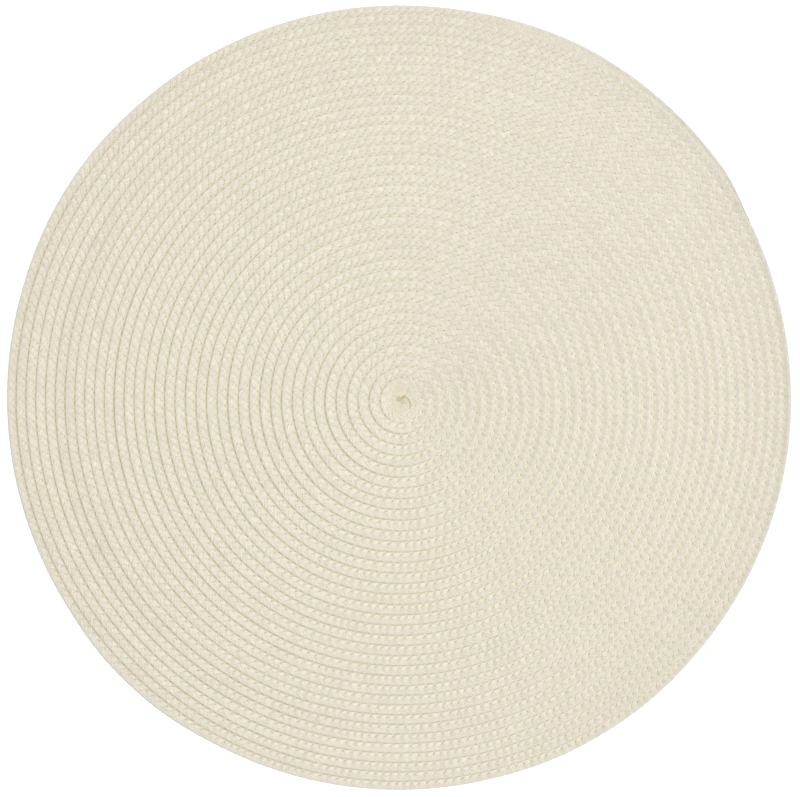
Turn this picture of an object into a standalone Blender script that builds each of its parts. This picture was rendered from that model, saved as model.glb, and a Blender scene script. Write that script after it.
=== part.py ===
"""Round braided placemat, lying flat. Metres, +Z up, origin in the middle of its underside.

One long flat braid is wound clockwise from the centre, seen from above, and its turns are sewn edge
to edge. The mat is one solid. The turns are ribs in its upper face, raised in the face's own points,
and its underside is flat. Nothing of the braid's plait is raised here: it is too fine.

Two numbers place a point on the mat: its direction from the centre, and its turn coordinate, which
counts the turns of braid from the centre out to it. The braid's inner edge at a station of turn
coordinate t has the braid's width outside it, up to t + 1, where the next turn's inner edge runs.
The ribs step out unevenly, so no turned or swept shape gives them, and the faces are set row by row.
"""

import math

import bmesh
import bpy
from mathutils import Vector

# The braid and how it is wound.
TURNS = 38.425            # turns of braid between the centre and the outermost edge
CENTRE_PITCH = 0.00533    # width of a turn at the centre
RIM_PITCH = 0.00479       # width of a turn at the rim, where the braid is pulled tighter
CORE_RADIUS = 0.0003      # where the winding starts
FIRST_TURN = 0.5          # turn coordinate at which the first rib begins, round the folded start
END_DIRECTION = math.radians(27)
LAST_STATION = TURNS - 1.0

# The winding's own centre lies off the mat's centre, less and less towards the rim.
WINDING_SHIFT = Vector((0.00175, -0.0026))

# Near the rim the turns run almost as circles, and step out by a turn only in the last stretch.
CIRCLES_FROM_TURN = 20.0
CIRCLE_DRIFT = 0.2        # share of a turn's step that is spread round the whole circle
LAST_STRETCH = 0.19       # share of the circle in which the rest of the step is taken

# The outline: a circle with shallow swells. The first is over the tucked end of the braid.
RIM_RADIUS = 0.1902
SWELLS = (
    # directions where it begins, is full, is still full and has gone (degrees), rise (metres)
    (27, 35, 58, 86, 0.0021),
    (130, 146, 150, 166, 0.0005),
    (210, 224, 230, 246, 0.0010),
    (282, 296, 308, 322, 0.0005),
    (350, 366, 374, 386, -0.0003),
)

# Heights, from the surface that the mat lies on.
ACROSS_BRAID = (
    # share of the turn's width from its inner edge, height
    (0.00, 0.0029),
    (0.30, 0.0040),
    (0.74, 0.0038),
)
RIM_SECTION = (
    # distance in from the outline, height
    (0.0009, 0.0033),
    (0.0000, 0.0019),
    (0.0010, 0.0000),
)
CENTRE_HEIGHT = 0.0027

# The mesh.
STEP_ALONG = 0.017
FEWEST_STEPS = 24         # steps in one turn near the centre
SHARP_ANGLE = math.radians(50)

YARN_COLOUR = (0.775, 0.724, 0.593, 1.0)
YARN_ROUGHNESS = 0.9


def smooth_step(x):
    """0 below 0, 1 above 1, and a smooth rise between."""
    x = min(max(x, 0.0), 1.0)
    return x * x * (3.0 - 2.0 * x)


def outline_radius(direction):
    """Distance from the mat's centre to its edge, in one direction."""
    radius = RIM_RADIUS
    for begins, full, still_full, gone, rise in SWELLS:
        angle = (math.degrees(direction) - begins) % 360.0 + begins
        coming = smooth_step((angle - begins) / (full - begins))
        going = smooth_step((gone - angle) / (gone - still_full))
        radius += rise * min(coming, going)
    return radius


def past_end(turn):
    """How far round the circle a turn coordinate lies clockwise from the braid's end, 0 to 1."""
    return (turn - TURNS) % 1.0


def direction_of(turn):
    return END_DIRECTION - 2.0 * math.pi * past_end(turn)


def winding_point(turn, station):
    """A point at a turn coordinate, in the direction in which the braid passes at that station."""
    direction = direction_of(station)
    round_share = past_end(station)
    last = smooth_step((round_share - (1.0 - LAST_STRETCH)) / LAST_STRETCH)
    circle_share = CIRCLE_DRIFT * round_share + (1.0 - CIRCLE_DRIFT) * last
    near_rim = smooth_step((turn - CIRCLES_FROM_TURN) / (TURNS - CIRCLES_FROM_TURN))
    wound = turn + near_rim * (circle_share - round_share)
    radius = CORE_RADIUS + CENTRE_PITCH * wound
    radius -= (CENTRE_PITCH - RIM_PITCH) * wound**2 / (2.0 * TURNS)
    outwards = min(turn / TURNS, 1.0)
    return Vector((
        radius * math.cos(direction) + WINDING_SHIFT.x * (1.0 - outwards) ** 2,
        radius * math.sin(direction) + WINDING_SHIFT.y * (1.0 - outwards**4),
    ))


def edge_point(station, inset):
    """A point of the outline, or a little inside it."""
    direction = direction_of(station)
    radius = outline_radius(direction) - inset
    return Vector((radius * math.cos(direction), radius * math.sin(direction)))


def braid_stations():
    """Turn coordinates of the braid's inner edge, a step apart, from its start to its end."""
    stations = [FIRST_TURN]
    while stations[-1] < LAST_STATION:
        turn = stations[-1]
        round_length = 2.0 * math.pi * CENTRE_PITCH * turn
        stations.append(turn + min(STEP_ALONG / round_length, 1.0 / FEWEST_STEPS))
    stretch = (LAST_STATION - FIRST_TURN) / (stations[-1] - FIRST_TURN)
    return [FIRST_TURN + (turn - FIRST_TURN) * stretch for turn in stations]


def zip_rows(mesh, first, second):
    """Faces between two rows of (turn coordinate, vertex) whose steps differ."""
    steps = [(turn, 0, vertex) for turn, vertex in first[1:]]
    steps += [(turn, 1, vertex) for turn, vertex in second[1:]]
    reached = [first[0][1], second[0][1]]
    for _, row, vertex in sorted(steps, key=lambda step: step[:2]):
        mesh.faces.new((reached[0], reached[1], vertex))
        reached[row] = vertex


def add_row(mesh, points, height):
    return [mesh.verts.new((point.x, point.y, height)) for point in points]


def point_across(station, share, outermost):
    """A point of the braid at a share of its width. The outermost turn reaches to the outline."""
    if outermost:
        return winding_point(station, station).lerp(edge_point(station, 0.0), share)
    return winding_point(station + share, station)


def build_mat():
    mesh = bmesh.new()
    stations = braid_stations()
    first_outer = next(k for k, turn in enumerate(stations) if turn > LAST_STATION - 1.0)
    outer_turn = stations[first_outer:]

    # The upper face: rows along the braid, the first one in the groove at its inner edge.
    rows = []
    for share, height in ACROSS_BRAID:
        points = [point_across(turn, share, k >= first_outer) for k, turn in enumerate(stations)]
        rows.append(add_row(mesh, points, height))
    for inner, outer in zip(rows, rows[1:]):
        for k in range(len(stations) - 1):
            mesh.faces.new((inner[k], inner[k + 1], outer[k + 1], outer[k]))

    # Each turn joins the next one along the groove between them.
    shoulder = list(zip((turn + 1.0 for turn in stations), rows[-1]))
    groove = list(zip(stations, rows[0]))
    after_start = next(k for k, turn in enumerate(stations) if turn >= FIRST_TURN + 1.0)
    zip_rows(mesh, shoulder[:first_outer], groove[after_start:])

    # The folded start of the braid fills the centre.
    middle = winding_point(0.0, FIRST_TURN)
    centre = mesh.verts.new((middle.x, middle.y, CENTRE_HEIGHT))
    ring = rows[0][:after_start + 1] + [row[0] for row in reversed(rows[1:])]
    for here, ahead in zip(ring, ring[1:] + ring[:1]):
        mesh.faces.new((here, ahead, centre))

    # The rim, and the foot on which the mat lies.
    sides = [rows[-1][first_outer:]]
    for inset, height in RIM_SECTION:
        sides.append(add_row(mesh, [edge_point(turn, inset) for turn in outer_turn], height))
    for upper, lower in zip(sides, sides[1:]):
        for k in range(len(outer_turn) - 1):
            mesh.faces.new((upper[k], upper[k + 1], lower[k + 1], lower[k]))
    for upper, lower in zip(sides[1:], sides[2:]):
        mesh.faces.new((upper[-1], upper[0], lower[0], lower[-1]))
    mesh.faces.new(sides[-1])

    # The tapered end of the braid, tucked against the turn inside it.
    hub = sides[0][0]
    tail = [rows[-1][first_outer - 1]] + [row[-1] for row in rows] + [sides[1][-1], sides[1][0]]
    for here, ahead in zip(tail, tail[1:]):
        mesh.faces.new((here, ahead, hub))

    bmesh.ops.recalc_face_normals(mesh, faces=mesh.faces)
    data = bpy.data.meshes.new("braided_mat")
    mesh.to_mesh(data)
    mesh.free()
    data.shade_smooth()
    data.set_sharp_from_angle(angle=SHARP_ANGLE)
    return bpy.data.objects.new("braided_mat", data)


def yarn_material():
    material = bpy.data.materials.new("cream_yarn")
    material.use_nodes = True
    shader = material.node_tree.nodes["Principled BSDF"]
    shader.inputs["Base Color"].default_value = YARN_COLOUR
    shader.inputs["Roughness"].default_value = YARN_ROUGHNESS
    shader.inputs["Metallic"].default_value = 0.0
    return material


def main():
    for old in list(bpy.data.objects):
        bpy.data.objects.remove(old, do_unlink=True)
    collection = bpy.data.collections.new("Braided placemat")
    bpy.context.scene.collection.children.link(collection)
    mat = build_mat()
    mat.data.materials.append(yarn_material())
    collection.objects.link(mat)


main()
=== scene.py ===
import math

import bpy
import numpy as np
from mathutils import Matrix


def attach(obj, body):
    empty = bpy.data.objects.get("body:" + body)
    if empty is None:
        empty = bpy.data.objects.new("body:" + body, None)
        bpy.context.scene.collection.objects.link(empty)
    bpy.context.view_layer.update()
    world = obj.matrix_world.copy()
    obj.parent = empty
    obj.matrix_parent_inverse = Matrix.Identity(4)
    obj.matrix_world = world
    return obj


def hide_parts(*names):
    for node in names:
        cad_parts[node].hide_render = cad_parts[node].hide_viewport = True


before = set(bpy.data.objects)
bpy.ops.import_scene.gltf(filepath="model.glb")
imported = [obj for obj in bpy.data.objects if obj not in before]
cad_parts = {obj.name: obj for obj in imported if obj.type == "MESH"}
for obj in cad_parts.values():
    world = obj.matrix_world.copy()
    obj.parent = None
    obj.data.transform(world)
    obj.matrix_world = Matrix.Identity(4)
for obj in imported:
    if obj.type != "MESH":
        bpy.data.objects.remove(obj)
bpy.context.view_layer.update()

# Round braided placemat, lying flat on a pale floor and seen from straight above. Metres.
#
# One long flat braid of cream yarn is wound clockwise from the centre and sewn edge to edge. It is
# shaped here as six closed bands, each some turns of the same braid, which meet along its grooves.
#
# Three numbers place a point of the braid:
#   station   the turns of braid from the centre out to its inner edge, which also gives the
#             direction from the centre, because the braid passes each direction once a turn;
#   across    the share of the braid's width out from its inner edge, 0 to 1;
#   lobe      how many lobes of the plait lie between the braid's start and the point.

# ---------------------------------------------------------------- the winding, as the solid has it

TURNS = 38.425            # turns of braid between the centre and the outermost edge
LAST_STATION = TURNS - 1.0
CENTRE_PITCH = 0.00533    # width of a turn at the centre
RIM_PITCH = 0.00479       # width of a turn at the rim
CORE_RADIUS = 0.0003
END_DIRECTION = math.radians(27)
WINDING_SHIFT = (0.00175, -0.0026)
CIRCLES_FROM_TURN = 20.0
CIRCLE_DRIFT = 0.2
LAST_STRETCH = 0.19
RIM_RADIUS = 0.1902
SWELLS = (
    # directions where it begins, is full, is still full and has gone (degrees), rise (metres)
    (27, 35, 58, 86, 0.0021),
    (130, 146, 150, 166, 0.0005),
    (210, 224, 230, 246, 0.0010),
    (282, 296, 308, 322, 0.0005),
    (350, 366, 374, 386, -0.0003),
)

# ---------------------------------------------------------------- the plait

LOBE_LENGTH = 0.00405     # along the braid
FIRST_STATION = 0.30      # where the braid's first lobe lies, at the folded start
FLAT_UNTIL = 1.60         # turns from the centre, as far as the folded start is pressed flat
FLAT_FADES_IN = 0.5       # turns
FLAT_HEIGHT = 0.00362
FLAT_RELIEF = 0.12        # share of the relief that is left there
FOLDED_LOBES = 42         # at the braid's end, folded under, with almost no plait on the face
FOLD_FADES_IN = 5.0       # lobes
FOLDED_RELIEF = 0.2
END_LOBES = (14.0, 2.0)   # before the end, where its section starts to even out and is even
END_HEIGHT = 0.0038
END_EVENNESS = 0.8

# Lines across the braid, as lobes along it for the share across: a + b w + c w^2 + d w^3, where w
# is the share out from the pores. The inner row of lobes leans outwards and clockwise, and the
# outer row leans back over it, ever flatter. A pore lies where the edges of both rows meet.
PORE_ACROSS = 0.28
INNER_EDGE = (0.0, 1.512, -1.233, 0.0)
OUTER_EDGE = (1.0, -1.45, 0.0, -0.60)

# The valley between one lobe and the next: share across, lobes along.
VALLEY = (
    (0.00, 0.40), (0.06, 0.37), (0.14, 0.29), (0.28, 0.14), (0.40, 0.12), (0.60, 0.17),
    (0.80, 0.27), (1.00, 0.40),
)

# The crest of a lobe: share across, lobes along from the valley before it.
CREST = ((0.00, 0.66), (0.14, 0.62), (0.28, 0.50), (0.60, 0.44), (1.00, 0.46))

# The braid's section: share across, height above the surface that the mat lies on (metres).
SECTION = (
    (0.00, 0.00364), (0.05, 0.00351), (0.12, 0.00347), (0.20, 0.00349), (0.30, 0.00354),
    (0.40, 0.00361), (0.50, 0.00375), (0.60, 0.00394), (0.70, 0.00402), (0.80, 0.00402),
    (0.88, 0.00401), (0.93, 0.00398), (0.97, 0.00390), (1.00, 0.00375),
)
UNDER_SECTION = (
    (0.00, 0.0009), (0.16, 0.0003), (0.33, 0.0), (0.66, 0.0), (0.85, 0.0004), (1.00, 0.0009),
)

# How far the lobes stand up from their valleys: share across, height. Each lobe stands up by its
# own share of it, from the lowest to the lowest and the spread.
LOBE_HEIGHT = (
    (0.00, 0.00050), (0.12, 0.00022), (0.25, 0.00009), (0.36, 0.00012), (0.50, 0.00029),
    (0.62, 0.00027), (0.82, 0.00014), (1.00, 0.00014),
)
LOWEST_LOBE, LOBE_SPREAD = 0.6, 0.8
OVERLAP_HEIGHT = 0.00002
OVERLAP_RISES_IN = 0.10   # lobes along
OVERLAP_FADES = (0.6, 0.8)
PORE_DEPTH = 0.0002
PORE_SPREAD = (0.10, 0.055)               # lobes along, share across
UNDER_LOBE_HEIGHT = 0.00025

# Slow unevenness of the face: height, then radians for each lobe, for the share across, to start.
UNEVENNESS = ((0.00006, 0.071, 0.0, 1.0), (0.00005, 0.0237, 3.0, 0.0))

# Slow waves in the lobes' length: lobes, wave length (metres), radians to start.
LOBE_WAVES = ((0.20, 0.0713, 1.1), (0.12, 0.0297, 0.3), (0.35, 0.193, 2.0))

# ---------------------------------------------------------------- the mesh

COLUMNS = (0.0, 0.10, 0.25, 0.42, 0.60, 0.77, 0.91)           # in each lobe, on the face
ROWS = (0.0, 0.05, 0.13, 0.23, 0.34, 0.46, 0.60, 0.77, 0.90, 0.96)         # across the braid
UNDER_COLUMNS = (0.0, 0.33, 0.67)
UNDER_ROWS = (0.0, 0.30, 0.70)
BANDS = 6
RIM_ROWS = (
    # distance in from the outline, height
    (0.00005, 0.0035), (0.0, 0.00285), (0.0, 0.0019), (0.0003, 0.0011), (0.0010, 0.0004),
)
RIM_RIPPLE = 0.00005
RIM_WIDTH = 0.005         # metres down the rim for one more share across, in the UV map
CENTRE_SHARES = (0.8, 0.6, 0.4, 0.2)
CENTRE_HEIGHT = 0.0036
UNDER_CENTRE_HEIGHT = 0.0003
UPRIGHT_LOBES = 4.0       # at either end, in which the mesh's columns straighten up
STATIONS_IN_TABLE = 400001


def smooth_step(x):
    """0 below 0, 1 above 1, and 3x^2 - 2x^3 between."""
    x = np.clip(x, 0.0, 1.0)
    return x * x * (3.0 - 2.0 * x)


def outline_radius(direction):
    """The rim's radius plus, for each swell, its rise times a smooth step up and another down."""
    radius = np.full(np.shape(direction), RIM_RADIUS)
    for begins, full, still_full, gone, rise in SWELLS:
        angle = (np.degrees(direction) - begins) % 360.0 + begins
        coming = smooth_step((angle - begins) / (full - begins))
        going = smooth_step((gone - angle) / (gone - still_full))
        radius = radius + rise * np.minimum(coming, going)
    return radius


def past_end(station):
    """The share of the circle by which a station lies clockwise from the braid's end."""
    return (station - TURNS) % 1.0


def direction_of(station):
    """The direction from the mat's centre in which a station lies, in radians."""
    return END_DIRECTION - 2.0 * np.pi * past_end(station)


def winding_point(turn, station):
    """Radius = core + pitch * wound - (pitch loss) * wound^2, where wound is the turn coordinate,
    held back near the rim so that a turn there runs as a circle and steps out in its last stretch.
    The winding's own centre is shifted off the mat's, less and less outwards."""
    direction = direction_of(station)
    share = past_end(station)
    last = smooth_step((share - (1.0 - LAST_STRETCH)) / LAST_STRETCH)
    circle_share = CIRCLE_DRIFT * share + (1.0 - CIRCLE_DRIFT) * last
    near_rim = smooth_step((turn - CIRCLES_FROM_TURN) / (TURNS - CIRCLES_FROM_TURN))
    wound = turn + near_rim * (circle_share - share)
    radius = CORE_RADIUS + CENTRE_PITCH * wound
    radius = radius - (CENTRE_PITCH - RIM_PITCH) * wound**2 / (2.0 * TURNS)
    outwards = np.minimum(turn / TURNS, 1.0)
    return np.stack((
        radius * np.cos(direction) + WINDING_SHIFT[0] * (1.0 - outwards) ** 2,
        radius * np.sin(direction) + WINDING_SHIFT[1] * (1.0 - outwards**4),
    ), axis=-1)


def edge_point(station, inset):
    """A point a little inside the outline, in a station's direction."""
    direction = direction_of(station)
    radius = outline_radius(direction) - inset
    return np.stack((radius * np.cos(direction), radius * np.sin(direction)), axis=-1)


def braid_point(station, across):
    """A point of the braid from above. The outermost turn fills the space out to the outline."""
    regular = winding_point(station + across, station)
    inner = winding_point(station, station)
    outermost = inner + (edge_point(station, 0.0) - inner) * np.expand_dims(across, -1)
    return np.where(np.expand_dims(station > LAST_STATION - 1.0, -1), outermost, regular)


def lobe_table():
    """Stations against lobes: the length of the braid's middle line, summed from chords, over the
    lobe length, plus slow waves that make some lobes a little longer than others."""
    stations = np.linspace(FIRST_STATION, LAST_STATION, STATIONS_IN_TABLE)
    line = braid_point(stations, np.full_like(stations, 0.5))
    length = np.concatenate(([0.0], np.cumsum(np.hypot(*np.diff(line, axis=0).T))))
    lobes = length / LOBE_LENGTH
    for amplitude, wave, start in LOBE_WAVES:
        lobes = lobes + amplitude * np.sin(2.0 * np.pi * length / wave + start)
    lobes = lobes - lobes[0]
    return stations, lobes / lobes[-1] * round(lobes[-1]), length


TABLE_STATIONS, TABLE_LOBES, TABLE_LENGTH = lobe_table()
LOBES = int(round(TABLE_LOBES[-1]))
BRAID_LENGTH = float(TABLE_LENGTH[-1])
RIM_LOBE = float(np.interp(LAST_STATION - 1.0, TABLE_STATIONS, TABLE_LOBES))


def station_at(lobe):
    """The station of the braid's inner edge at a lobe, from the table."""
    return np.interp(lobe, TABLE_LOBES, TABLE_STATIONS)


def lobe_at(station):
    """The lobe at a station, from the table."""
    return np.interp(station, TABLE_STATIONS, TABLE_LOBES)


def chance(lobe_number):
    """A number from 0 to 1 for each lobe: the fraction of a large sine, the same in every run."""
    return np.abs(np.sin(lobe_number * 12.9898 + 78.233) * 43758.5453) % 1.0


def lean(edge, across):
    """Lobes along the braid that an edge has leant by this share across: its cubic."""
    out = across - PORE_ACROSS
    return edge[0] + out * (edge[1] + out * (edge[2] + out * edge[3]))


def along(table, across):
    """The second number of a table, in a straight line between its rows."""
    return np.interp(across, *np.array(table).T)


def lobe_relief(lobe, across):
    """Each lobe is a hump between two valleys: 1 minus the square of the way from its crest to the
    valley on that side. Past the edge of the outer row the face is a step higher. A pore is a
    small dip, a bell curve both ways."""
    from_valley = lobe - along(VALLEY, across)
    number = np.floor(from_valley)
    share = from_valley - number
    crest = along(CREST, across)
    before, after = 1.0 - share / crest, (share - crest) / (1.0 - crest)
    hump = 1.0 - np.where(share < crest, before, after) ** 2
    hump = hump * (LOWEST_LOBE + LOBE_SPREAD * chance(number))
    past_inner = (lobe - lean(INNER_EDGE, across)) % 1.0
    reach = lean(OUTER_EDGE, across) - lean(INNER_EDGE, across)
    fades, gone = OVERLAP_FADES
    on_top = smooth_step((past_inner - reach) / OVERLAP_RISES_IN + 0.5)
    on_top = on_top * (1.0 - smooth_step((across - fades) / (gone - fades)))
    along_pore = (lobe - np.round(lobe)) / PORE_SPREAD[0]
    off_pore = (across - PORE_ACROSS) / PORE_SPREAD[1]
    dip = np.exp(-(along_pore**2 + off_pore**2))
    return along(LOBE_HEIGHT, across) * (hump - 1.0) + OVERLAP_HEIGHT * on_top - PORE_DEPTH * dip


def face_height(lobe, across, station):
    """Height of the braid's face: its section, its lobes' relief and slow sine waves. The folded
    start is pressed to an even height, and the folded end is flatter than the rest."""
    started = smooth_step((station + across - FLAT_UNTIL) / FLAT_FADES_IN)
    folded = smooth_step((lobe - LOBES + FOLDED_LOBES) / FOLD_FADES_IN)
    relief = lobe_relief(lobe, across) * (1.0 - (1.0 - FOLDED_RELIEF) * folded)
    section = along(SECTION, across)
    evens, even = END_LOBES
    ended = smooth_step((lobe - LOBES + evens) / (evens - even))
    section = section + (END_HEIGHT - section) * END_EVENNESS * ended
    waves = [height * np.sin(lobe * by_lobe + across * by_share + start)
             for height, by_lobe, by_share, start in UNEVENNESS]
    shown = FLAT_RELIEF + (1.0 - FLAT_RELIEF) * started
    return FLAT_HEIGHT + (section - FLAT_HEIGHT + relief + sum(waves)) * shown


def under_height(lobe, across, station):
    """Height of the underside: its section plus a wave of one lobe's length along the braid."""
    wave = 0.5 + 0.5 * np.cos(2.0 * np.pi * (lobe - across))
    return along(UNDER_SECTION, across) + UNDER_LOBE_HEIGHT * wave


def zip_rows(first_keys, first, second_keys, second):
    """Triangles between two rows of vertices whose steps differ. Every step of either row, taken in
    the order of its key, adds one triangle: the last vertex reached on each row and the new one."""
    keys = np.concatenate((first_keys[1:], second_keys[1:]))
    row = np.concatenate((np.zeros(len(first) - 1, int), np.ones(len(second) - 1, int)))
    row = row[np.lexsort((row, keys))]
    on_second = np.cumsum(row)
    on_first = np.cumsum(1 - row)
    new = np.where(row == 0, first[on_first], second[on_second])
    return np.stack((first[on_first - (row == 0)], second[on_second - (row == 1)], new), axis=-1)


class Band:
    """The vertices and triangles of one closed band of braid, gathered piece by piece."""

    def __init__(self):
        self.points, self.lobes, self.across = [], [], []
        self.triangles, self.corner_uvs, self.creases = [], [], []
        self.count = 0

    def add_points(self, plan, height, lobe, across):
        """Adds vertices and gives back their numbers."""
        self.points.append(np.column_stack((plan, height)))
        self.lobes.append(np.asarray(lobe, float))
        self.across.append(np.asarray(across, float))
        numbers = np.arange(self.count, self.count + len(plan))
        self.count += len(plan)
        return numbers

    def add_triangles(self, triangles, uvs=None, flip=False):
        """Adds triangles, with their vertices' lobe and share across as the UV map if none is given."""
        if uvs is None:
            lobes, across = np.concatenate(self.lobes), np.concatenate(self.across)
            uvs = np.stack((lobes[triangles], across[triangles]), axis=-1)
        self.triangles.append(triangles[:, ::-1] if flip else triangles)
        self.corner_uvs.append(uvs[:, ::-1] if flip else uvs)

    def sharpen(self, row):
        """The edges along this row stay sharp in the shading."""
        self.creases.append(np.stack((row[:-1], row[1:]), axis=-1))

    def to_object(self, name):
        """The finished piece, shaded smooth but for its sharp rows."""
        points, triangles = np.concatenate(self.points), np.concatenate(self.triangles)
        mesh = bpy.data.meshes.new(name)
        mesh.vertices.add(len(points))
        mesh.vertices.foreach_set("co", points.ravel().astype(np.float32))
        mesh.loops.add(triangles.size)
        mesh.loops.foreach_set("vertex_index", triangles.ravel().astype(np.int32))
        mesh.polygons.add(len(triangles))
        mesh.polygons.foreach_set("loop_start", np.arange(0, triangles.size, 3, dtype=np.int32))
        mesh.update(calc_edges=True)
        uv_map = mesh.uv_layers.new(name="braid")
        uv_map.uv.foreach_set("vector", np.concatenate(self.corner_uvs).ravel().astype(np.float32))
        mesh.shade_smooth()
        if self.creases:
            edges = np.zeros(len(mesh.edges) * 2, np.int32)
            mesh.edges.foreach_get("vertices", edges)
            creases = np.concatenate(self.creases)
            crease_keys = creases.min(axis=1) * len(points) + creases.max(axis=1)
            pairs = edges.reshape(-1, 2).astype(np.int64)
            edge_keys = pairs.min(axis=1) * len(points) + pairs.max(axis=1)
            sharp = mesh.attributes.new("sharp_edge", "BOOLEAN", "EDGE")
            sharp.data.foreach_set("value", np.isin(edge_keys, crease_keys))
        piece = bpy.data.objects.new(name, mesh)
        bpy.context.scene.collection.objects.link(piece)
        return piece


def combined(rows):
    """Two triangles for each step of each pair of neighbouring rows, facing up on the upper side."""
    triangles = []
    for inner, outer in zip(rows, rows[1:]):
        triangles.append(np.stack((inner[:-1], inner[1:], outer[1:]), axis=-1))
        triangles.append(np.stack((inner[:-1], outer[1:], outer[:-1]), axis=-1))
    return np.concatenate(triangles)


class Layer:
    """The upper or the under side of the whole braid. Its columns lean across the braid as the
    valleys between its lobes do, so that the valleys fall on columns."""

    def __init__(self, columns, rows, height, centre_height, faces_up):
        starts = np.arange(LOBES)[:, None]
        self.columns = np.append((starts + np.array(columns)).ravel(), LOBES)
        self.rows, self.height, self.faces_up = rows, height, faces_up
        self.centre_height = centre_height
        from_end = np.minimum(self.columns, LOBES - self.columns)
        leaning = np.clip(from_end / UPRIGHT_LOBES, 0.0, 1.0)
        self.lobes = [self.columns + along(VALLEY, across) * leaning for across in rows]
        self.stations = [station_at(lobe) for lobe in self.lobes]

    def column(self, lobe):
        """The number of the column at which a lobe starts."""
        return int(np.searchsorted(self.columns, lobe))

    def add_row(self, band, row, first, last):
        """Adds one row's vertices from a first column to a last one."""
        across, lobe = self.rows[row], self.lobes[row][first:last + 1]
        station, share = self.stations[row][first:last + 1], np.full(last + 1 - first, across)
        height = self.height(lobe, share, station)
        return band.add_points(braid_point(station, share), height, lobe, share)

    def add_to(self, band, first_lobe, last_lobe):
        """Adds this side of a band. Gives back the borders that the walls close."""
        first, last = self.column(first_lobe), self.column(last_lobe)
        rows = [self.add_row(band, row, first, last) for row in range(len(self.rows))]
        band.add_triangles(combined(rows), flip=not self.faces_up)

        # Each turn's last row meets the next turn's groove. The next band's groove ends this band.
        groove, edge = self.stations[0], self.stations[-1]
        meets = int(np.searchsorted(groove, edge[first] + 1.0))
        reaches = last
        leaves = int(np.searchsorted(edge, LAST_STATION - 1.0))
        beyond = np.zeros(0, int)
        if last_lobe < LOBES:
            leaves = last
            reaches = int(np.searchsorted(groove, edge[last] + 1.0))
            beyond = self.add_row(band, 0, last + 1, reaches)
        outer = np.concatenate((rows[0][meets - first:], beyond))
        inner = rows[-1][:leaves - first + 1]
        outer_keys, inner_keys = groove[meets:reaches + 1], edge[first:leaves + 1] + 1.0
        triangles = zip_rows(outer_keys, outer, inner_keys, inner)
        lobes, across = np.concatenate(band.lobes), np.concatenate(band.across)
        lobes[outer], across[outer] = lobe_at(outer_keys - 1.0), 1.0
        uvs = np.stack((lobes[triangles], across[triangles]), axis=-1)
        band.add_triangles(triangles, uvs, flip=not self.faces_up)
        return {
            "rows": rows,
            "inner": (groove[first:meets + 1], rows[0][:meets - first + 1]),
            "start": (np.array(self.rows + (1.0,)), np.array([row[0] for row in rows] + [outer[0]])),
            "outer": (groove[last:reaches + 1], np.append(rows[0][-1:], beyond)),
            "end": (np.array(self.rows + (1.0,)), np.array([row[-1] for row in rows] + [outer[-1]])),
            "hub": rows[-1][leaves - first],
            "rim": (edge[leaves:last + 1], rows[-1][leaves - first:]),
        }


def add_wall(band, upper, under, flip):
    """Closes a band along one of its borders, from the face down to the underside."""
    band.add_triangles(zip_rows(*upper, *under), flip=flip)
    band.sharpen(upper[1])
    band.sharpen(under[1])


def add_centre(band, layer, border):
    """The folded start of the braid: the border of its first turn drawn in to the middle in steps,
    share by share, and a last vertex there."""
    middle = winding_point(np.array([0.0]), np.array([FIRST_STATION]))
    ring = np.concatenate((border["inner"][1], border["start"][1][-2:0:-1]))
    points = np.concatenate(band.points)[ring]
    lobes = np.concatenate(band.lobes)[ring]
    rows = [np.append(ring, ring[0])]
    for share in CENTRE_SHARES:
        plan = middle + (points[:, :2] - middle) * share
        height = points[:, 2] * share + layer.centre_height * (1.0 - share)
        row = band.add_points(plan, height, lobes, np.full(len(ring), 0.5))
        rows.append(np.append(row, row[0]))
    band.add_triangles(combined(rows[::-1]), flip=not layer.faces_up)
    hub = band.add_points(middle, [layer.centre_height], [0.0], [0.5])[0]
    inner = rows[-1]
    fan = np.stack((inner[1:], inner[:-1], np.full(len(inner) - 1, hub)), axis=-1)
    band.add_triangles(fan, flip=not layer.faces_up)


def add_tail(band, layer, border, rim_start):
    """Closes the tapered end: a fan from the outermost turn's first edge vertex over the end."""
    ids = np.array([row[-1] for row in border["rows"]] + [rim_start])
    fan = np.stack((ids[1:], ids[:-1], np.full(len(ids) - 1, border["hub"])), axis=-1)
    band.add_triangles(fan, flip=layer.faces_up)


def add_rim(band, upper, under):
    """Rows round the outline, from the face's edge down to the underside."""
    keys, edge = upper["rim"]
    lobes = lobe_at(keys[:-1])
    rows = [edge]
    for inset, height in RIM_ROWS:
        ripple = RIM_RIPPLE * (1.0 - np.cos(2.0 * np.pi * lobes))
        plan = edge_point(keys[:-1], inset + ripple)
        share = np.full(len(lobes), 1.0 + (RIM_ROWS[0][1] - height) / RIM_WIDTH)
        row = band.add_points(plan, np.full(len(lobes), height), lobes, share)
        rows.append(np.append(row, row[0]))
    band.add_triangles(combined(rows))
    lowest = zip_rows(keys, rows[-1], *under["rim"])
    band.add_triangles(lowest, flip=True)
    return rows[1][0], rows[-1][0]


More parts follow.
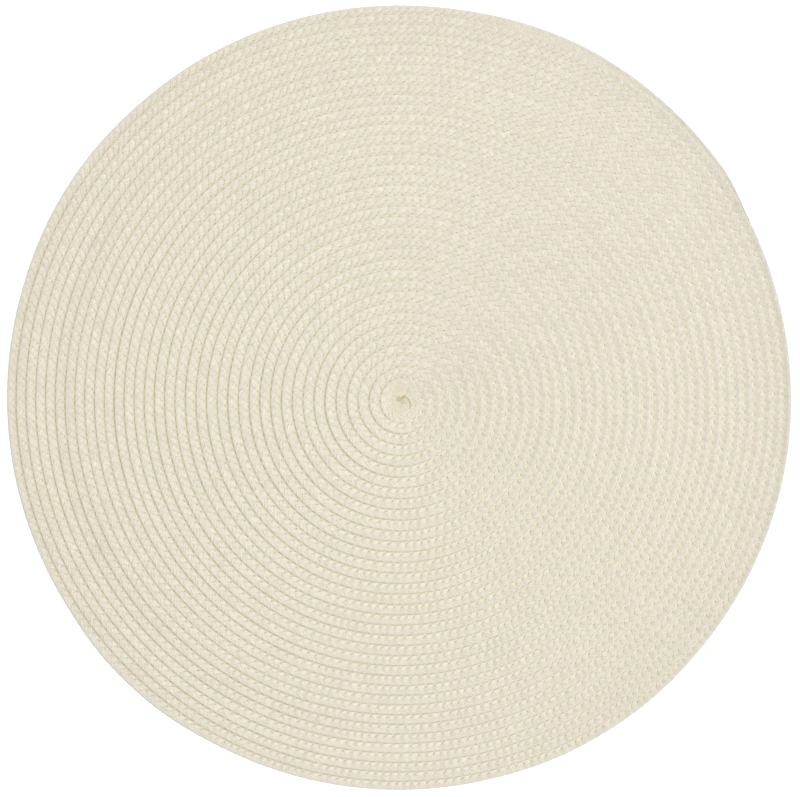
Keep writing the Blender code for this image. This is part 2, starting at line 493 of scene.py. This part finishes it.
def make_band(number, first_lobe, last_lobe):
    """One closed piece: both sides, then its centre, rim or the walls along its grooves and ends."""
    band = Band()
    upper = FACE.add_to(band, first_lobe, last_lobe)
    under = UNDERSIDE.add_to(band, first_lobe, last_lobe)
    if first_lobe == 0:
        add_centre(band, FACE, upper)
        add_centre(band, UNDERSIDE, under)
    else:
        add_wall(band, upper["inner"], under["inner"], flip=False)
        add_wall(band, upper["start"], under["start"], flip=True)
    if last_lobe == LOBES:
        rim_top, rim_foot = add_rim(band, upper, under)
        add_tail(band, FACE, upper, rim_top)
        add_tail(band, UNDERSIDE, under, rim_foot)
    else:
        add_wall(band, upper["outer"], under["outer"], flip=True)
        add_wall(band, upper["end"], under["end"], flip=False)
    return band.to_object(f"braid_band_{number}")


FACE = Layer(COLUMNS, ROWS, face_height, CENTRE_HEIGHT, faces_up=True)
UNDERSIDE = Layer(UNDER_COLUMNS, UNDER_ROWS, under_height, UNDER_CENTRE_HEIGHT, faces_up=False)


# ---------------------------------------------------------------- colours and patterns of the yarn

def colour(red, green, blue):
    """A colour as the shader sockets take it."""
    return (red, green, blue, 1.0)


CREAM = colour(0.840, 0.785, 0.602)
# CROWN is a painted highlight: the top of the braid paler and less yellow, as where it is lit most.
CROWN = colour(0.828, 0.777, 0.668)       # along the top of the braid
PINKISH = colour(0.836, 0.754, 0.622)
GREENISH = colour(0.796, 0.775, 0.608)
YELLOWISH = colour(0.810, 0.758, 0.535)
# COOL_CREAM is painted light: a cooler cast on the mat's upper right and lower outer part.
COOL_CREAM = colour(0.818, 0.764, 0.655)
PALE = colour(0.910, 0.865, 0.745)        # bright strokes of fibre
# AMBER is painted shade in the grooves and along the arms between lobes.
AMBER = colour(0.738, 0.684, 0.472)       # in the grooves
# KHAKI is painted shade in the pores, notches and arms; it also colours the specks near the centre.
KHAKI = colour(0.47, 0.40, 0.25)          # in the pores and notches
# RIM_GREY is painted shade: greyer over the outer half of the outermost turn and down the rim.
RIM_GREY = colour(0.79, 0.755, 0.66)
# FAR_GREY is a painted shadow along the rim's edge on the side away from the lamp.
FAR_GREY = colour(0.40, 0.42, 0.45)
THREAD = colour(0.64, 0.48, 0.17)
THREAD_END = colour(0.46, 0.42, 0.22)
THREAD_PIT = colour(0.42, 0.34, 0.14)
STAINED = colour(0.80, 0.69, 0.50)
FLOOR_WHITE = colour(0.95, 0.95, 0.95)
FLOOR_ROUGHNESS, FLOOR_GLOW = 0.9, 0.5
YARN_ROUGHNESS, YARN_SHEEN = 0.85, 0.15
BUMP_STRENGTH, BUMP_DISTANCE = 0.8, 0.00030

# Fibres, of which a lobe shows a few side by side.
INNER_FIBRES, OUTER_FIBRES = 5.0, 4.4     # in one lobe
OUTER_FIBRE_LEAN = 1.65                   # lobes along for one share across
FIBRE_STRETCH = 2.2
# PALE_SIDE shifts each fibre's pale tint off its crest, as painted light on the flank that the bumps
# shade.
PALE_SIDE = 0.45                          # how far a fibre's pale side lies in from its crest

# Clouds of noise over the mat, in waves for each metre.
FUZZ_WAVES, HUE_WAVES, WIDE_WAVES = 2000.0, 110.0, 14.0

# How light the yarn is, and what each cause adds to that at most. The lit rim's, the low turns'
# # and the wave's amounts are painted shade and light.
PLAIN_SHADE, FIBRE_SHADE, FUZZ_SHADE = 0.430, 0.50, 0.56
LOBE_SHADE, DRIFT_SHADE, WIDE_SHADE = 0.04, 0.03, 0.02
NEAR_RIM_SHADE, LIT_RIM_SHADE, LOW_TURNS_SHADE, PAINTED_WAVE_SHADE = -0.035, -0.065, 0.03, 0.026
ROUGH_SHADE = 0.3

# Sides of the mat: the direction from its centre in degrees, and a power that narrows the side.
# They place painted light and shade.
LEFT, TOP, RIGHT, BOTTOM = (180.0, 1.0), (105.0, 2.0), (355.0, 4.0), (275.0, 3.0)
LOWER_RIGHT, SMOOTHEST = (320.0, 4.0), (300.0, 1.5)
LIGHT_MIDDLES, DARK_EDGES = (65.0, 4.0), (40.0, 3.0)
COOL_UPPER, COOL_LOWER = (45.0, 2.0), (275.0, 4.0)
LAMP_SIDE, FAR_SIDE, LOWEST = (25.0, 3.0), (205.0, 1.0), (270.0, 8.0)

# Parts of the braid's width: the shares across at which each one begins, is full, is still full and
# has gone.
CROWN_PART = (0.10, 0.70, 0.86, 1.06)
INNER_PART = (0.06, 0.16, 0.26, 0.38)
MIDDLE_PART = (0.22, 0.34, 0.52, 0.68)
OVERLAP_PART = (0.32, 0.42, 0.60, 0.75)
LOW_OVERLAP_PART = (0.26, 0.36, 0.50, 0.62)
SCALLOP_PART = (0.05, 0.12, 0.34, 0.48)
EARLY_PART = (0.04, 0.12, 0.28, 0.40)
LATE_PART = (0.42, 0.52, 0.72, 0.82)
FLANK_PART = (0.03, 0.06, 0.09, 0.14)     # of the way out of a groove

# Other parts: the shares across at which each one begins and is full, or is still full and has gone.
ABOVE_PORES = (0.24, 0.34)
OUTER_PART = (0.70, 0.86)
INNER_ROW = (0.60, 0.75)
LOW_ROW = (0.40, 0.52)
RIDGE_END = (0.56, 0.86)
BRIGHT_END = (0.60, 0.85)
RIM_PART = (0.45, 0.95)
RIM_EDGE = (0.86, 0.97)
TOUCH_END = (0.02, 0.16)
GROOVE_SIDES = (0.7, 1.3)                 # how wide a groove's inner and outer sides count

# Lobes along the braid, where each stretch begins, is full, is still full and has gone.
PLAITED = (5.0, 14.0, LOBES - FOLDED_LOBES, LOBES - FOLDED_LOBES + 6.0)
AMBER_FROM = (4.0, 36.0)
FIRST_TURNS = (12.0, 16.0, 32.0, 38.0)

# Widths of the lines between lobes, in lobes along, and of the pores and notches.
EDGE_LINE, OVERLAP_LINE = 0.12, 0.14
PORE_SIZE = (0.11, 0.052)                 # lobes along, share across
NOTCH_SIZE = (0.25, 0.12)

# Places on the mat, in pixels of the photograph from the mat's centre, and distances from it at
# which something begins and is full, or is still full and has gone.
PIXEL = 0.380 / 784.0                     # metres on the mat
KNOT_AT, KNOT_SIZE, KNOT_LIES = (0.3, -1.4), (3.7, 2.7), math.radians(24)
PIT_AT, PIT_SIZE, PIT_LIES = (3.6, 0.3), (2.6, 0.9), math.radians(45)
HOOK_CENTRE, HOOK_RADIUS = (1.0, -8.0), 10.0
HOOK_WIDTH = (0.2, 1.4)
HOOK_ENDS = (math.radians(-19), math.radians(65))
HOOK_FADE = 0.1
SPECKS_AT, SPECKS_SIZE = (0.5, 11.5), (8.0, 36.0)           # the size as squares of distances
STAIN_SIZE = (4.0, 26.0)
ROUGH_CENTRE = (15.0, 30.0)
PINK_CENTRE, PINK_LEFT = (20.0, 70.0), (200.0, 340.0)
COOL_FROM = (200.0, 340.0)
PAINTED_WAVE_RISE, PAINTED_WAVE_TURN, PAINTED_WAVE_END = (316.0, 330.0), (340.0, 352.0), (364.0, 380.0)
NEAR_RIM, LIT_RIM = (320.0, 388.0), (379.0, 388.0)
LOW_TURNS = (338.0, 346.0)


class Value:
    """A number or colour that varies over a surface: an output socket with Python's operators."""

    def __init__(self, board, socket):
        self.board, self.socket = board, socket

    def maths(self, operation, *others):
        return self.board.node("ShaderNodeMath", {"operation": operation}, (self,) + others)

    def __add__(self, other):
        return self.maths("ADD", other)

    def __radd__(self, other):
        return self.maths("ADD", other)

    def __sub__(self, other):
        return self.maths("SUBTRACT", other)

    def __rsub__(self, other):
        return self.board.node("ShaderNodeMath", {"operation": "SUBTRACT"}, (other, self))

    def __mul__(self, other):
        return self.maths("MULTIPLY", other)

    def __truediv__(self, other):
        return self.maths("DIVIDE", other)

    def __pow__(self, other):
        return self.maths("POWER", other)

    def at_least(self, other):
        return self.maths("MAXIMUM", other)

    def at_most(self, other):
        return self.maths("MINIMUM", other)

    def floor(self):
        return self.maths("FLOOR")

    def fraction(self):
        return self.maths("FRACT")


class Board:
    """A material's nodes."""

    def __init__(self, name):
        self.material = bpy.data.materials.new(name)
        self.material.use_nodes = True
        self.tree = self.material.node_tree
        self.shader = self.tree.nodes["Principled BSDF"]

    def node(self, kind, settings=None, inputs=(), output=0):
        """Adds a node: its settings first, then its sockets by place or by name."""
        added = self.tree.nodes.new(kind)
        for name, value in (settings or {}).items():
            setattr(added, name, value)
        pairs = inputs.items() if isinstance(inputs, dict) else enumerate(inputs)
        for key, value in pairs:
            self.feed(added.inputs[key], value)
        return Value(self, added.outputs[output])

    def feed(self, socket, value):
        if isinstance(value, Value):
            self.tree.links.new(value.socket, socket)
        else:
            socket.default_value = value

    def first_two(self, vector):
        """The first two numbers of a vector."""
        first = self.node("ShaderNodeSeparateXYZ", None, (vector,))
        return first, Value(self, first.socket.node.outputs[1])

    def step(self, value, low, high):
        """0 where the value is under low, 1 where it is over high, a smooth step between."""
        return self.node("ShaderNodeMapRange", {"interpolation_type": "SMOOTHSTEP"},
                         {"Value": value, "From Min": low, "From Max": high})

    def within(self, value, begins, full, still_full, gone):
        """A smooth step up times a smooth step down."""
        return self.step(value, begins, full) * (1.0 - self.step(value, still_full, gone))

    def blend(self, share, first, second):
        """A colour between two, by a share."""
        return self.node("ShaderNodeMix", {"data_type": "RGBA", "blend_type": "MIX"},
                         {0: share, 6: first, 7: second}, output=2)

    def noise(self, x, y, z=0.0, detail=2.0):
        """Blender's noise, about 0 to 1, at coordinates that are numbers of their own."""
        place = self.node("ShaderNodeCombineXYZ", None, (x, y, z))
        return self.cloud(place, 1.0, detail, 0.5)

    def cloud(self, place, scale, detail, roughness):
        """Blender's noise, about 0 to 1, at a point. Scale is in waves for each metre or step."""
        return self.node("ShaderNodeTexNoise", {"noise_dimensions": "3D"},
                         {"Vector": place, "Scale": scale, "Detail": detail, "Roughness": roughness})

    def chance(self, number):
        """A number from 0 to 1 for each whole number, the same in every run."""
        return self.node("ShaderNodeTexWhiteNoise", {"noise_dimensions": "1D"}, {1: number})


class Place:
    """Where a point of the yarn lies: on the plait, from the braid's UV map, and on the mat."""

    def __init__(self, board):
        self.board = board
        self.lobe, self.across = board.first_two(board.node("ShaderNodeUVMap", {"uv_map": "braid"}))
        lobe, across = self.lobe, self.across

        # The inner row's edge and the outer row's edge, and how far past each the point lies.
        self.inner_line = lobe - lean(INNER_EDGE, across)
        self.outer_line = lobe - lean(OUTER_EDGE, across)
        self.past_inner = self.inner_line.fraction()
        self.past_outer = self.outer_line.fraction()
        self.inner_gap = self.past_inner.at_most(1.0 - self.past_inner)
        self.outer_gap = self.past_outer.at_most(1.0 - self.past_outer)
        self.reach = lean(OUTER_EDGE, across) - lean(INNER_EDGE, across)
        self.on_top = board.step(self.past_inner - self.reach, -0.04, 0.04)
        self.above_pores = board.step(across, *ABOVE_PORES)
        self.plaited = board.within(lobe, *PLAITED)
        self.outermost = board.step(lobe, RIM_LOBE, RIM_LOBE + 1.0)
        inner_side, outer_side = across * GROOVE_SIDES[0], (1.0 - across) * GROOVE_SIDES[1]
        self.from_groove = inner_side.at_most(outer_side + self.outermost)

        spot = board.node("ShaderNodeTexCoord", output=3)
        self.fuzz = board.cloud(spot, FUZZ_WAVES, 1.0, 0.5)
        self.hue = board.cloud(spot, HUE_WAVES, 3.0, 0.75)
        self.wide = board.cloud(spot, WIDE_WAVES, 1.0, 0.5)
        x, y = board.first_two(spot)
        self.x, self.y = x / PIXEL, y / PIXEL
        self.radius = (self.x * self.x + self.y * self.y).maths("SQRT")

        # The lower right of the mat, where the fibres show least: there the fibres' tint, their strokes
        # # and the pores' dark are painted fainter, as the light shows them less.
        self.smooth_side = self.side(*SMOOTHEST)

    def side(self, degrees, power):
        """1 in one direction from the mat's centre, less the further round, 0 past a right angle:
        a power of the cosine between them."""
        angle = math.radians(degrees)
        share = (self.x * math.cos(angle) + self.y * math.sin(angle)) / self.radius.at_least(1.0)
        return share.at_least(0.0) ** power

    def oval(self, centre, size, lies):
        """The square of the distance from an oval's centre, 1 on its outline."""
        right, up = self.x - centre[0], self.y - centre[1]
        lengthways = (right * math.cos(lies) + up * math.sin(lies)) / size[0]
        sideways = (up * math.cos(lies) - right * math.sin(lies)) / size[1]
        return lengthways * lengthways + sideways * sideways


def fibres(place, shift):
    """Streaks along the lobes of the inner row, and along those of the outer row where it lies on
    top: the yarn's own tone. Each row's streaks are shifted towards the mat's centre, by a share of
    a fibre, so that their pale side is painted light on the flanks that the bumps shade on the
    lamp's side of the mat."""
    board, stretched = place.board, place.across * FIBRE_STRETCH
    inner = board.noise(place.inner_line * INNER_FIBRES - shift, stretched, detail=1.0)
    inner = 0.25 + inner * 0.5
    leaning = place.lobe + (place.across - PORE_ACROSS) * OUTER_FIBRE_LEAN
    outer = board.noise(leaning * OUTER_FIBRES + shift, stretched, 5.0, detail=1.0)
    return inner + place.on_top * (outer - inner)


def inner_edges(place):
    """Lines along the edges of the inner row's lobes."""
    line = 1.0 - place.board.step(place.inner_gap, 0.0, EDGE_LINE)
    return line * (1.0 - place.board.step(place.across, *INNER_ROW))


def outer_edges(place):
    """Lines along the edges of the outer row's lobes."""
    return 1.0 - place.board.step(place.outer_gap, 0.0, OVERLAP_LINE)


def arms(place):
    """The lines that run out from the pores between the lobes of both rows."""
    overlap = outer_edges(place) * place.board.within(place.across, *OVERLAP_PART)
    return (inner_edges(place) * place.above_pores).at_least(overlap * 0.8) * place.plaited


def pores(place):
    """Small ovals, one to a lobe, where the edges of both rows meet."""
    along_braid = ((place.lobe + 0.5).fraction() - 0.5) / PORE_SIZE[0]
    off = (place.across - PORE_ACROSS) / PORE_SIZE[1]
    oval = along_braid * along_braid + off * off
    return (1.0 - place.board.step(oval, 0.2, 1.6)) * place.plaited


def notches(place):
    """Small half ovals on the groove, one between each two lobes."""
    along_braid = (place.lobe.fraction() - 0.5) / NOTCH_SIZE[0]
    off = place.across / NOTCH_SIZE[1]
    oval = along_braid * along_braid + off ** 2.0
    return (1.0 - place.board.step(oval, 0.1, 1.6)) * place.plaited


def crevices(place):
    """The valleys between the inner row's lobes, below the pores."""
    board, past = place.board, place.past_inner
    valley = (1.0 - board.step(past, 0.02, 0.35)).at_least(board.step(past, 0.93, 1.00))
    return valley * (1.0 - place.above_pores) * place.plaited


def ridges(place):
    """The roofs between the inner row's edge and the outer row's: straight up, then down."""
    rise = place.past_inner / place.reach.at_least(0.15)
    fall = (1.0 - place.past_inner) / (1.0 - place.reach).at_least(0.15)
    ridge = rise.at_most(fall).at_most(1.0) * place.above_pores
    return ridge * (1.0 - place.board.step(place.across, *RIDGE_END)) * place.plaited


def bright_edges(place):
    """Bright strokes just past the outer row's edges."""
    stroke = place.board.within(place.past_outer, 0.03, 0.08, 0.10, 0.35)
    stroke = stroke * place.on_top * place.above_pores * place.plaited
    return stroke * (1.0 - place.board.step(place.across, *BRIGHT_END))


def sided_shade(place, fibre):
    """Painted light and shade that differ from side to side of the mat. The light brings out other
    parts of the plait in each direction from the centre, which the lamp alone does too weakly, so
    pale middles, dark edges, lit scallops, lit flanks and dark groove lines are painted by side,
    and the fibres painted fainter towards the lower right."""
    board, across, edges = place.board, place.across, inner_edges(place)
    middle, outer = board.within(across, *MIDDLE_PART), board.step(across, *OUTER_PART)
    upper_right = place.side(*LIGHT_MIDDLES) * middle * 0.040
    upper_right = upper_right - place.side(*DARK_EDGES) * outer * 0.046

    inner = board.within(across, *INNER_PART)
    top = place.side(*TOP) * (0.017 - inner * 0.040 - edges * place.plaited * 0.07)

    scallops = board.step(place.inner_gap, 0.10, 0.30) * board.within(across, *SCALLOP_PART)
    low_edges = edges * (1.0 - board.step(across, *LOW_ROW))
    low_overlap = outer_edges(place) * board.within(across, *LOW_OVERLAP_PART)
    bottom = scallops * 0.062 - low_edges * 0.13 - low_overlap * 0.07
    bottom = place.side(*BOTTOM) * place.plaited * bottom

    early, late = board.within(across, *EARLY_PART), board.within(across, *LATE_PART)
    right = place.side(*RIGHT) * (early * 0.032 - late * 0.030)

    flank = board.within(place.from_groove, *FLANK_PART)
    groove_line = 1.0 - board.step(place.from_groove, 0.0, 0.04)
    lower_right = place.side(*LOWER_RIGHT) * (flank * 0.075 - groove_line * 0.08 - 0.018)
    smoother = (fibre - 0.5) * place.smooth_side * 0.32
    return upper_right + top + bottom + right + lower_right - smoother


def shade_of(place, fibre):
    """How light the yarn is: by its fibres and fuzz, by lobe and stretch, and by where it lies:
    darker towards the rim, with painted shade on the rim at the lamp's side, painted light on the
    lowest outer turns, painted shade and light as of a wave on the left, and the painted light and
    shade of each side.
    """
    board, radius, fuzz = place.board, place.radius, place.fuzz
    lobe_shade = board.chance(place.inner_line.floor())
    drift = board.noise(place.lobe * 0.3, place.across * 2.0, 2.0)
    shade = PLAIN_SHADE + fibre * FIBRE_SHADE + fuzz * FUZZ_SHADE
    shade = shade + lobe_shade * LOBE_SHADE + drift * DRIFT_SHADE + place.wide * WIDE_SHADE

    shade = shade + board.step(radius, *NEAR_RIM) * NEAR_RIM_SHADE
    # Painted shade: the rim on the lamp's side darker.
    shade = shade + board.step(radius, *LIT_RIM) * place.side(*LAMP_SIDE) * LIT_RIM_SHADE
    # Painted light: the lowest outer turns lighter.
    shade = shade + board.step(radius, *LOW_TURNS) * place.side(*LOWEST) * LOW_TURNS_SHADE

    # Painted shade and light on the left, as of a gentle wave: some outer turns darker, and the
    #     # next ones lighter.
    painted_wave = board.step(radius, *PAINTED_WAVE_RISE) * (board.step(radius, *PAINTED_WAVE_TURN) * 2.0 - 1.0)
    painted_wave = painted_wave * (1.0 - board.step(radius, *PAINTED_WAVE_END))
    shade = shade + painted_wave * place.side(*LEFT) * PAINTED_WAVE_SHADE

    rougher = (fuzz - 0.5) * (1.0 - board.step(radius, *ROUGH_CENTRE))
    return shade + rougher * ROUGH_SHADE + sided_shade(place, fibre)


def cream_of(place):
    """The yarn's hue: its own patches, pinkish, greenish or yellowish, and a pinker centre. Painted
    light besides: paler along the crown, pinker on the left's outer part, and cooler on the upper
    right and the lower outer part.
    """
    board, radius = place.board, place.radius
    # Painted light: pinker on the outer part of the mat's left side.
    pinker = place.side(*LEFT) * board.step(radius, *PINK_LEFT) * 0.08
    pinker = pinker + (1.0 - board.step(radius, *PINK_CENTRE)) * 0.07
    tint = board.blend(board.step(place.hue - pinker, 0.35, 0.65), PINKISH, GREENISH)
    # Painted highlight: paler along the crown.
    crown = board.within(place.across, *CROWN_PART)
    cream = board.blend(0.6, board.blend(crown, CREAM, CROWN), tint)
    patches = board.noise(place.lobe * 0.8, place.across * 1.5, 7.0)
    cream = board.blend(board.step(patches, 0.35, 0.65) * 0.25, cream, YELLOWISH)
    # Painted light: cooler on the upper right and on the lower outer part.
    cooler = place.side(*COOL_UPPER) + place.side(*COOL_LOWER) * board.step(radius, *COOL_FROM)
    return board.blend(cooler * 0.3, cream, COOL_CREAM)


def with_dark_places(place, yarn):
    """Painted shade: amber in the grooves and along the arms, khaki in the pores and notches, by
    chance more or less of it, grey round the rim and a darker grey along the rim's edge on the side
    away from the lamp."""
    board, lobe = place.board, place.lobe
    drift = board.step(board.noise(lobe * 0.9, 0.0, 9.0), 0.25, 0.75)
    # Painted shade: amber in the grooves and along the arms, more or less by chance.
    groove = (1.0 - board.step(place.from_groove, 0.0, 0.10)) * board.step(lobe, *AMBER_FROM)
    amber = (groove * (0.15 + drift * 0.85)).at_least(arms(place) * (0.1 + drift * 0.5))
    # Painted shade: khaki in the pores, notches and arms.
    pore_chance = board.chance((lobe + 0.5).floor())
    dark = (pores(place) * (0.10 + pore_chance ** 3.0 * 0.65)).at_least(arms(place) * 0.04)
    # The pores' painted shade is fainter towards the lower right.
    dark = dark * (1.0 - place.smooth_side * 0.4)
    notch_chance = board.chance(lobe.floor() + 0.5)
    dark = dark.at_least(notches(place) * (0.03 + notch_chance * 0.27))
    yarn = board.blend(dark, board.blend(amber, yarn, AMBER), KHAKI)

    # Painted shade round the rim.
    rim = place.outermost * board.step(place.across, *RIM_PART)
    yarn = board.blend(rim * 0.6, yarn, RIM_GREY)
    # Painted shadow along the rim's edge away from the lamp.
    far_rim = place.outermost * board.step(place.across, *RIM_EDGE) * place.side(*FAR_SIDE)
    return board.blend(far_rim * 0.75, yarn, FAR_GREY)


def hook_of(place):
    """The starting thread's end: an arc of a circle, from one direction from its centre to another."""
    board, right, up = place.board, place.x - HOOK_CENTRE[0], place.y - HOOK_CENTRE[1]
    off = ((right * right + up * up).maths("SQRT") - HOOK_RADIUS).maths("ABSOLUTE")
    turned = up.maths("ARCTAN2", right)
    first, last = HOOK_ENDS
    shown = board.within(turned, first - HOOK_FADE, first + HOOK_FADE, last - HOOK_FADE, last + HOOK_FADE)
    return (1.0 - board.step(off, *HOOK_WIDTH)) * shown


def with_starting_thread(place, yarn, knot, pit):
    """The thread with which the winding was started: its knot, the pit beside it and the end that
    hooks round, with a stain and specks about them and touches of thread on the first groove."""
    board, fuzz = place.board, place.fuzz
    touches = board.step(board.noise(place.lobe * 1.3, 0.0, 4.0), 0.50, 0.62)
    touches = touches * board.within(place.lobe, *FIRST_TURNS)
    touches = touches * (1.0 - board.step(place.across, *TOUCH_END))
    yarn = board.blend(touches * 0.55, yarn, THREAD)
    to_specks = place.oval(SPECKS_AT, (1.0, 1.0), 0.0)
    specks = board.step(fuzz, 0.52, 0.66) * (1.0 - board.step(to_specks, *SPECKS_SIZE))
    yarn = board.blend(specks * 0.4, yarn, KHAKI)
    stain = (1.0 - board.step(place.radius, *STAIN_SIZE)) * (0.1 + place.hue * 0.5)
    yarn = board.blend(stain, yarn, STAINED)
    yarn = board.blend(knot * (0.25 + fuzz * 0.7), yarn, THREAD)
    yarn = board.blend(hook_of(place) * 0.7, yarn, THREAD_END)
    return board.blend(pit * 0.7, yarn, THREAD_PIT)


def yarn_material():
    """Cream plaited yarn. The plait's own lines are worked out again from the braid's UV map, so
    that fibres run along each lobe, and its pores, edges and grooves are painted darker, as painted
    shade. Light and shade that differ from side to side of the mat are painted into its colour too."""
    board = Board("cream_yarn")
    place = Place(board)
    raised, fibre = fibres(place, 0.0), fibres(place, PALE_SIDE)
    knot = 1.0 - board.step(place.oval(KNOT_AT, KNOT_SIZE, KNOT_LIES), 0.1, 1.4)
    pit = 1.0 - board.step(place.oval(PIT_AT, PIT_SIZE, PIT_LIES), 0.2, 1.5)

    yarn = board.node("ShaderNodeVectorMath", {"operation": "SCALE"},
                      {0: cream_of(place), "Scale": shade_of(place, fibre)})
    # Pale strokes of fibre, painted fainter towards the lower right where the light shows them less.
    stroke = board.step(fibre, 0.52, 0.72) * (0.34 - place.smooth_side * 0.17)
    yarn = board.blend(stroke + bright_edges(place) * 0.18, yarn, PALE)
    yarn = with_starting_thread(place, with_dark_places(place, yarn), knot, pit)
    board.feed(board.shader.inputs["Base Color"], yarn)
    board.feed(board.shader.inputs["Roughness"], YARN_ROUGHNESS)
    board.feed(board.shader.inputs["Sheen Weight"], YARN_SHEEN)

    height = raised * 1.6 + place.fuzz * 0.6 + ridges(place) * 0.5 + knot * 1.5
    height = height - pores(place) * 0.4 - crevices(place) * 0.5 - arms(place) * 0.2 - pit
    bump = board.node("ShaderNodeBump", None, {
        "Strength": BUMP_STRENGTH, "Distance": BUMP_DISTANCE, "Height": height})
    board.feed(board.shader.inputs["Normal"], bump)
    return board.material


def floor_material():
    """White, and glowing a little, so that it stays white round the mat."""
    board = Board("pale_floor")
    board.shader.inputs["Base Color"].default_value = FLOOR_WHITE
    board.shader.inputs["Roughness"].default_value = FLOOR_ROUGHNESS
    board.shader.inputs["Emission Color"].default_value = colour(1.0, 1.0, 1.0)
    board.shader.inputs["Emission Strength"].default_value = FLOOR_GLOW
    return board.material


# ---------------------------------------------------------------- the camera, floor and light

IMAGE_SIZE = (800, 797)
MAT_CENTRE_AT = (399.5, 397.5)            # pixels from the picture's upper left corner
LENS, SENSOR = 100.0, 36.0
FACE_UP = 0.003                           # height at which a pixel is as wide as in the photograph

FILL = 0.71
FILL_COLOUR = (1.01, 1.00, 0.89)
KEY_COLOUR = (0.97, 1.00, 1.35)
KEY_AZIMUTH, KEY_ELEVATION, KEY_DISTANCE, KEY_SIZE, KEY_POWER = 20.0, 48.0, 2.4, 1.4, 25.0
FLOOR_SIDE = 12.0


def add_camera():
    """Straight above, so far up that the picture is as wide as the photograph's."""
    data = bpy.data.cameras.new("camera")
    data.lens, data.sensor_width, data.sensor_fit = LENS, SENSOR, "HORIZONTAL"
    camera = bpy.data.objects.new("camera", data)
    bpy.context.scene.collection.objects.link(camera)
    x = (IMAGE_SIZE[0] / 2.0 - MAT_CENTRE_AT[0]) * PIXEL
    y = (MAT_CENTRE_AT[1] - IMAGE_SIZE[1] / 2.0) * PIXEL
    camera.location = (x, y, IMAGE_SIZE[0] * PIXEL * LENS / SENSOR + FACE_UP)
    bpy.context.scene.camera = camera


def add_light(name, azimuth, elevation, distance, size, power):
    """A square lamp that looks at the mat from a direction."""
    data = bpy.data.lights.new(name, "AREA")
    data.shape, data.size, data.energy, data.color = "SQUARE", size, power, KEY_COLOUR
    lamp = bpy.data.objects.new(name, data)
    bpy.context.scene.collection.objects.link(lamp)
    azimuth, elevation = math.radians(azimuth), math.radians(elevation)
    flat = math.cos(elevation) * distance
    lamp.location = (flat * math.cos(azimuth), flat * math.sin(azimuth),
                     math.sin(elevation) * distance)
    lamp.rotation_euler = (math.pi / 2.0 - elevation, 0.0, azimuth + math.pi / 2.0)


def add_surroundings():
    """An even soft light from all round, one large lamp at the right, and the floor."""
    world = bpy.data.worlds.new("studio")
    world.use_nodes = True
    background = world.node_tree.nodes["Background"]
    background.inputs["Color"].default_value = colour(*FILL_COLOUR)
    background.inputs["Strength"].default_value = FILL
    bpy.context.scene.world = world
    bpy.context.scene.view_settings.view_transform = "Standard"
    add_light("key", KEY_AZIMUTH, KEY_ELEVATION, KEY_DISTANCE, KEY_SIZE, KEY_POWER)
    mesh = bpy.data.meshes.new("floor")
    side = FLOOR_SIDE / 2.0
    mesh.from_pydata([(-side, -side, 0.0), (side, -side, 0.0), (side, side, 0.0), (-side, side, 0.0)],
                     [], [(0, 1, 2, 3)])
    floor = bpy.data.objects.new("floor", mesh)
    bpy.context.scene.collection.objects.link(floor)
    mesh.materials.append(floor_material())


def band_limits():
    """Whole lobe numbers that cut the braid into bands of equal length."""
    return [round(LOBES * share / BANDS) for share in range(BANDS + 1)]


def declare(piece, first_lobe, last_lobe):
    """A band was braided flat, as wide as its turns lie side by side and as long as its middle;
    that length is worked out here but not used. The model's braided_mat is hidden and the band is
    attached to the root.
    """
    first, last = station_at(first_lobe), station_at(last_lobe)
    length = (last_lobe - first_lobe) * BRAID_LENGTH / LOBES / (last - first)
    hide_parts("braided_mat")
    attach(piece, "root")


def main():
    add_camera()
    add_surroundings()
    yarn = yarn_material()
    limits = band_limits()
    for number, (first, last) in enumerate(zip(limits, limits[1:]), start=1):
        piece = make_band(number, first, last)
        piece.data.materials.append(yarn)
        declare(piece, first, last)


main()
